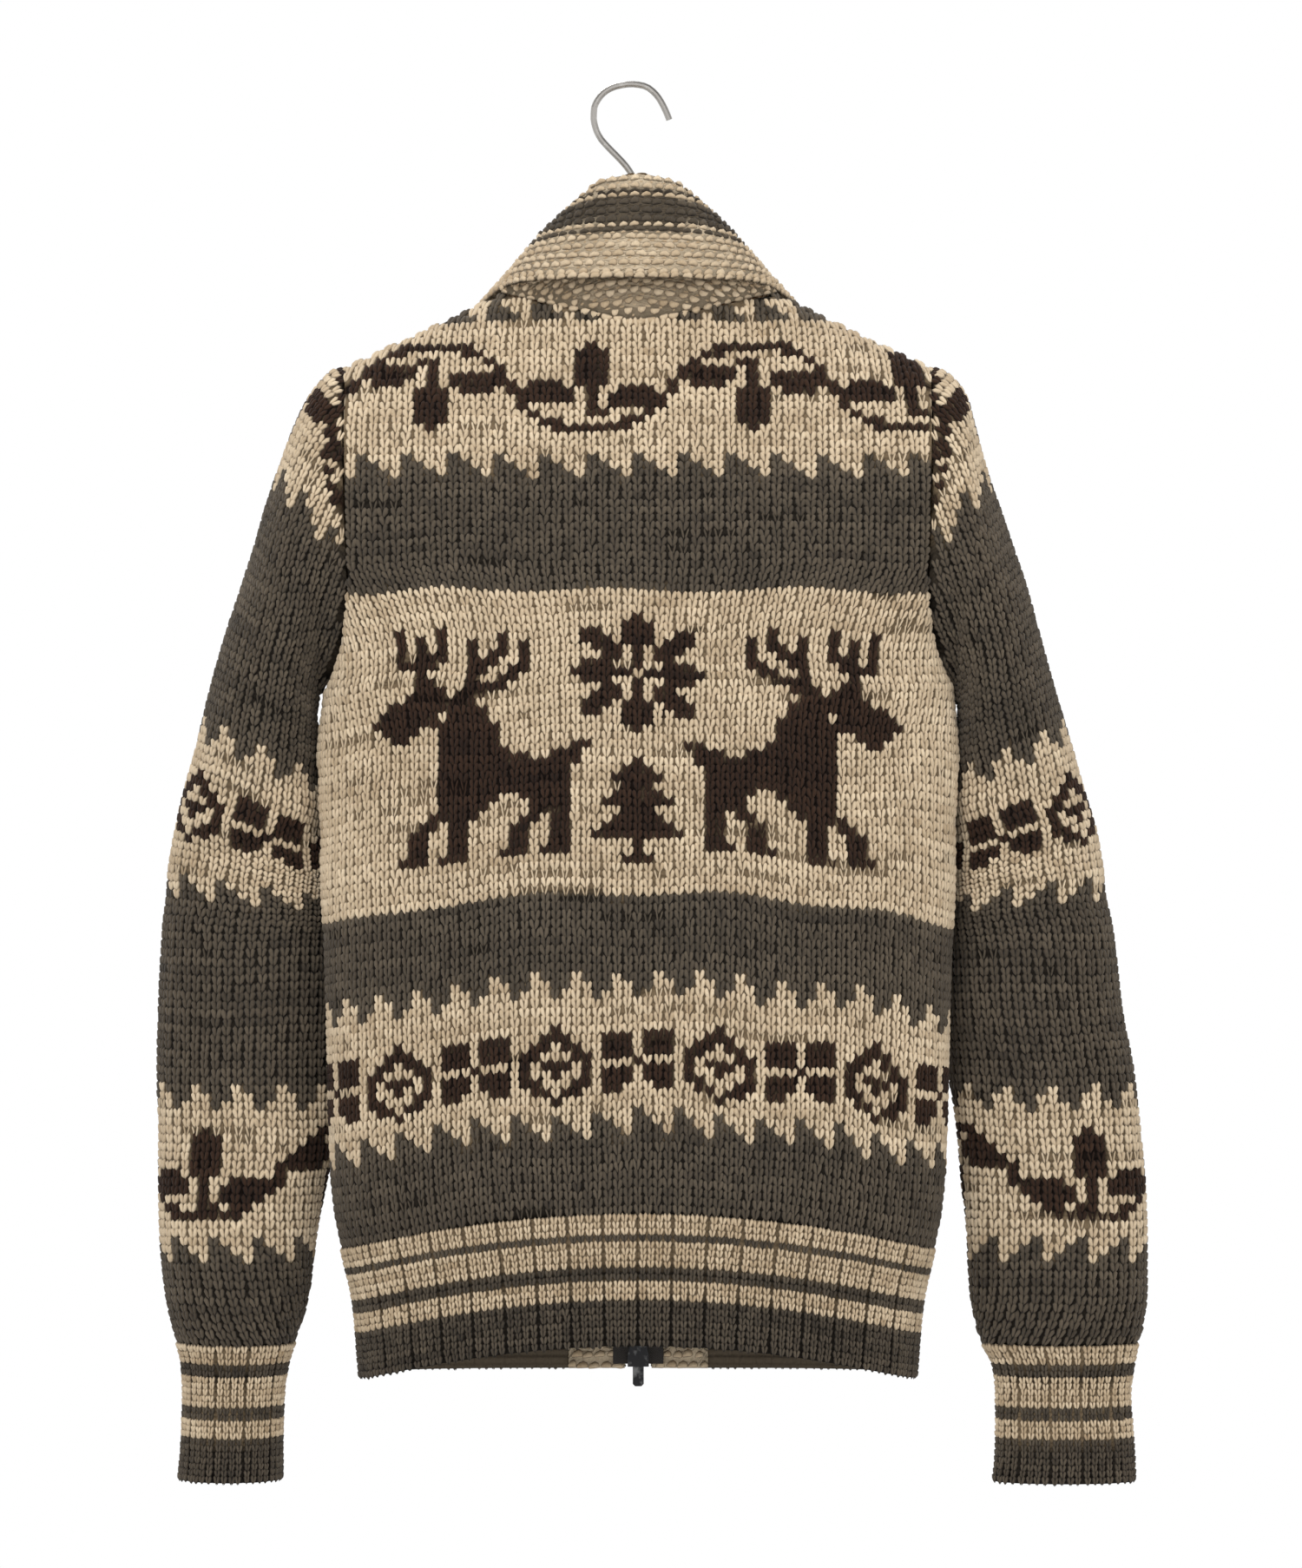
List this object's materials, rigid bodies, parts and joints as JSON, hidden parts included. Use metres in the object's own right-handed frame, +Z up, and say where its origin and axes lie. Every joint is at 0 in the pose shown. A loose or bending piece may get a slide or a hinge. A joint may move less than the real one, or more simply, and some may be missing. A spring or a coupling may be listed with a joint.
{
  "type": "zipped knitted sweater on a clothes hanger",
  "caption": "Bulky pictorial-knit sweater with a folded shawl collar, a two-way front zip and ribbed hem and cuffs, hung on a plain hanger by its hook.",
  "frame": {"origin": "inner top of the hanger's hook, where it rests on a rail", "axes": "+Z up, the garment's front faces -Y and its back faces +Y, and the wearer's left is +X"},
  "size_m": [0.621, 0.1575, 0.8754],
  "materials": {
    "knit_wool": "bulky stocking-stitch wool, cream, grey-brown and dark brown",
    "grey_wool": "ribbed wool, grey-brown with cream stripes",
    "cream_wool": "garter-stitch wool, cream",
    "zip_tape": "woven tape",
    "dark_metal": "dark oxidised, worn bright at the edges",
    "steel": "satin",
    "hanger_wood": "satin varnish"
  },
  "bodies": {
    "garment": {"back_panel": "knit_wool", "left_front_panel": "knit_wool", "right_front_panel": "knit_wool", "sleeve_left": "knit_wool", "sleeve_right": "knit_wool", "hem_rib_back": "grey_wool", "hem_rib_left_front": "grey_wool", "hem_rib_right_front": "grey_wool", "cuff_left": "grey_wool", "cuff_right": "grey_wool", "zip_band_left": "cream_wool", "zip_band_right": "cream_wool", "collar": "cream_wool", "zip_tape_left": "zip_tape", "zip_tape_right": "zip_tape", "slider_top": "dark_metal", "slider_bottom": "dark_metal", "hanger": "hanger_wood", "hook": "steel"},
    "tab_top": {"pull_tab_top": "dark_metal"},
    "tab_bottom": {"pull_tab_bottom": "dark_metal"}
  },
  "joints": [
    {"name": "top_tab_hinge", "type": "hinge", "parent": "garment", "child": "tab_top", "pos_m": [0, -0.0713, -0.2625], "axis": [1, 0, 0], "range_deg": [-160, 8]},
    {"name": "bottom_tab_hinge", "type": "hinge", "parent": "garment", "child": "tab_bottom", "pos_m": [0, -0.0713, -0.794], "axis": [1, 0, 0], "range_deg": [-160, 8]}
  ]
}
